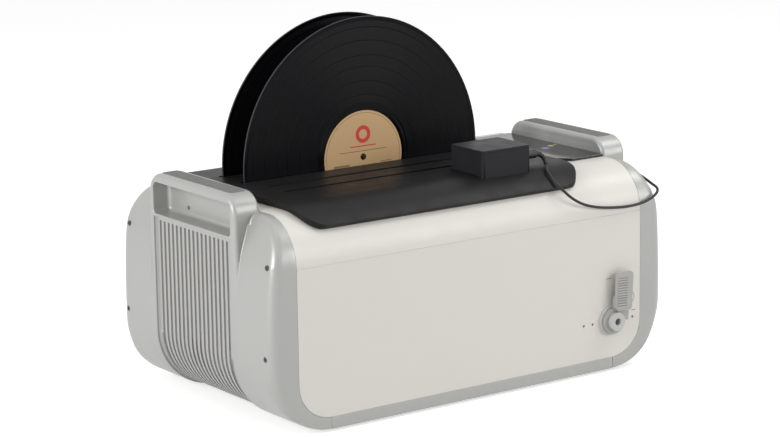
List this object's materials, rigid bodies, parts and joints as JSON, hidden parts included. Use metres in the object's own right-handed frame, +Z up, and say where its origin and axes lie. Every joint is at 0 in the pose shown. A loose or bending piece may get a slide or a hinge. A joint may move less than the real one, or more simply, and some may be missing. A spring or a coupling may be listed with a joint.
{
  "type": "record cleaning machine",
  "caption": "Ultrasonic record cleaning machine with a rounded cream shell, grey end caps with handles, a black slotted lid, a motor box, a drain valve and two records.",
  "frame": {"origin": "centre of the machine's footprint at the plane of the feet, without the lead", "axes": "+X along the machine to the side with the controls, +Y to the rear, +Z up; the drain valve is on the front, at -Y"},
  "size_m": [0.5155, 0.3934, 0.3875],
  "materials": {
    "shell_plastic": "satin cream moulding",
    "cap_plastic": "fine matt silver grey moulding",
    "grip_rubber": "textured grey grip patch",
    "dark_rubber": "black rubber",
    "steel": "brushed stainless sheet",
    "frame_steel": "painted sheet steel",
    "alloy": "machined alloy",
    "lid_plastic": "satin black moulding",
    "box_plastic": "fine matt black moulding",
    "glass": "polished black panel",
    "white_plastic": "white moulding",
    "valve_grey": "silver grey moulding",
    "brass": "turned brass",
    "board": "green circuit board",
    "parts": "dark components",
    "vinyl": "black grooved vinyl",
    "paper": "printed tan paper",
    "cord_plastic": "black cable sheath",
    "red_plastic": "red rocker"
  },
  "bodies": {
    "base": {"top_cover": "shell_plastic", "front_panel": "shell_plastic", "rear_panel": "shell_plastic", "bottom_tray": "cap_plastic", "feet": "dark_rubber", "left_end_cap": "cap_plastic", "right_end_cap": "cap_plastic", "left_handle_grip": "cap_plastic", "right_handle_grip": "cap_plastic", "grip_patches": "grip_rubber", "cap_screws": "steel", "chassis_frame": "frame_steel", "tank": "steel", "tank_gasket": "dark_rubber", "transducers": "alloy", "heater_pad": "dark_rubber", "drain_pipe": "white_plastic", "valve_body": "white_plastic", "valve_bezel": "valve_grey", "drain_nozzle": "valve_grey", "generator_board": "board", "board_parts": "parts", "heat_sinks": "alloy", "transformer": "parts", "fan_frame": "box_plastic", "mains_inlet": "box_plastic", "rocker_frame": "box_plastic", "control_glass": "glass", "display_board": "board"},
    "lid": {"lid_cover": "lid_plastic", "motor_box": "box_plastic", "motor_box_cover": "box_plastic", "gearmotor": "steel", "drive_belt": "dark_rubber", "roller_hangers": "frame_steel", "shaft_bushes": "brass", "dc_jack": "box_plastic", "dc_plug": "cord_plastic", "dc_strain_relief": "cord_plastic", "dc_lead": "cord_plastic", "dc_lead_coil": "cord_plastic", "adapter_relief": "cord_plastic", "wall_adapter": "cord_plastic", "adapter_blades": "brass"},
    "front_record": {"record_front": "vinyl", "record_front_label": "paper"},
    "rear_record": {"record_rear": "vinyl", "record_rear_label": "paper"},
    "drive_roller": {"drive_shaft": "steel", "drive_pulley": "brass", "drive_tyres": "dark_rubber"},
    "idle_roller": {"idle_shaft": "steel", "idle_tyres": "dark_rubber"},
    "motor_shaft": {"motor_pulley": "brass"},
    "drain_lever": {"valve_lever": "valve_grey", "valve_core": "brass"},
    "fan": {"fan_rotor": "box_plastic"},
    "power_switch": {"power_rocker": "red_plastic"}
  },
  "joints": [
    {"name": "lid_lift", "type": "slide", "parent": "base", "child": "lid", "axis": [0, 0, 1], "range_m": [0, 0.025]},
    {"name": "front_record_turn", "type": "hinge", "parent": "lid", "child": "front_record", "pos_m": [-0.026, 0.023, 0.237], "axis": [0, 1, 0], "continuous": true},
    {"name": "rear_record_turn", "type": "hinge", "parent": "lid", "child": "rear_record", "pos_m": [-0.026, 0.0643, 0.237], "axis": [0, 1, 0], "continuous": true},
    {"name": "drive_roller_turn", "type": "hinge", "parent": "lid", "child": "drive_roller", "pos_m": [0.11239, 0.023, 0.1571], "axis": [0, 1, 0], "continuous": true},
    {"name": "idle_roller_turn", "type": "hinge", "parent": "lid", "child": "idle_roller", "pos_m": [-0.16439, 0.023, 0.1571], "axis": [0, 1, 0], "continuous": true},
    {"name": "motor_shaft_turn", "type": "hinge", "parent": "lid", "child": "motor_shaft", "pos_m": [0.064, -0.064, 0.2395], "axis": [0, 1, 0], "continuous": true},
    {"name": "drain_lever_turn", "type": "hinge", "parent": "base", "child": "drain_lever", "pos_m": [0.1805, -0.146, 0.0572], "axis": [0, 1, 0], "range_deg": [0, 90]},
    {"name": "fan_spin", "type": "hinge", "parent": "base", "child": "fan", "pos_m": [0.242, 0.004, 0.11], "axis": [1, 0, 0], "continuous": true},
    {"name": "power_switch_rock", "type": "hinge", "parent": "base", "child": "power_switch", "pos_m": [0.165, 0.14507, 0.06], "axis": [1, 0, 0], "range_deg": [-16, 0]}
  ],
  "couplings": [
    {"joint": "rear_record_turn", "follows": "front_record_turn", "ratio": 1},
    {"joint": "drive_roller_turn", "follows": "front_record_turn", "ratio": -16.722},
    {"joint": "idle_roller_turn", "follows": "front_record_turn", "ratio": -16.722},
    {"joint": "motor_shaft_turn", "follows": "front_record_turn", "ratio": -16.722}
  ]
}
